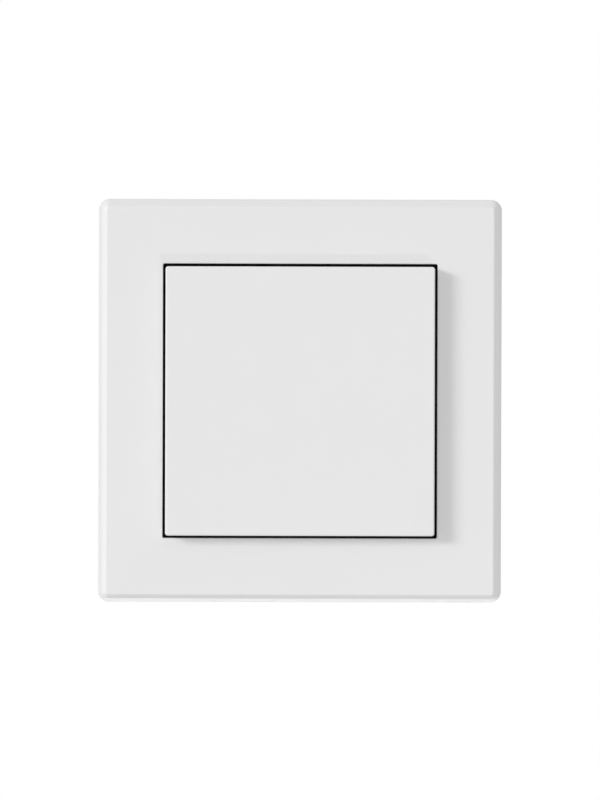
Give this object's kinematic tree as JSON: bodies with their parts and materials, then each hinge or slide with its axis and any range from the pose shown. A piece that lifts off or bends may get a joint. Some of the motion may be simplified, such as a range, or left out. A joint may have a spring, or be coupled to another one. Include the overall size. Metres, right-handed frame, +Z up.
{
  "type": "wireless light switch",
  "caption": "Square wall transmitter switch: a bevelled white frame around one plain rocker that tilts both ways on a level axis and springs back.",
  "frame": {"origin": "middle of the base plate's back face, on the wall plane and midway between the wall screw holes", "axes": "+Y into the wall, +Z up the wall, +X to the right as seen from the front; the rocker faces -Y"},
  "size_m": [0.0812, 0.0138, 0.0812],
  "materials": {
    "frame_white": "satin moulded white",
    "rocker_white": "satin moulded white",
    "housing_dark": "fine grained anthracite",
    "pin_grey": "natural acetal",
    "steel": "plain stainless",
    "cell_nickel": "nickel plated",
    "chip_black": "moulded epoxy",
    "capacitor_ochre": "moulded epoxy",
    "antenna_copper": "bare copper strip",
    "board_green": "solder mask",
    "pad_foam": "foam with paper liner"
  },
  "bodies": {
    "wall_unit": {"outer_frame": "frame_white", "module_cover": "housing_dark", "cover_screws": "steel", "return_spring_upper": "steel", "return_spring_lower": "steel", "contact_dome_upper": "steel", "contact_dome_lower": "steel", "coin_cell": "cell_nickel", "cell_contact_negative": "steel", "cell_contact_positive": "steel", "radio_chip": "chip_black", "quartz_crystal": "cell_nickel", "buffer_capacitor": "capacitor_ochre", "loop_antenna": "antenna_copper", "circuit_board": "board_green", "base_plate": "housing_dark", "adhesive_pads": "pad_foam"},
    "rocker": {"rocker_cap": "rocker_white", "rocker_carrier": "housing_dark"},
    "pin_upper": {"push_pin_upper": "pin_grey"},
    "pin_lower": {"push_pin_lower": "pin_grey"}
  },
  "joints": [
    {"name": "rocker_tilt", "type": "hinge", "parent": "wall_unit", "child": "rocker", "pos_m": [0, -0.00901, 0], "axis": [-1, 0, 0], "range_deg": [-3.5, 3.5], "stiffness_Nm_per_rad": 0.65},
    {"name": "pin_upper_slide", "type": "slide", "parent": "wall_unit", "child": "pin_upper", "axis": [0, 1, 0], "range_m": [-0.00104, 0.00104], "deforming": ["return_spring_upper", "contact_dome_upper"]},
    {"name": "pin_lower_slide", "type": "slide", "parent": "wall_unit", "child": "pin_lower", "axis": [0, 1, 0], "range_m": [-0.00104, 0.00104], "deforming": ["return_spring_lower", "contact_dome_lower"]}
  ],
  "couplings": [
    {"joint": "pin_upper_slide", "follows": "rocker_tilt", "m_per_rad": 0.017},
    {"joint": "pin_lower_slide", "follows": "rocker_tilt", "m_per_rad": -0.017}
  ]
}
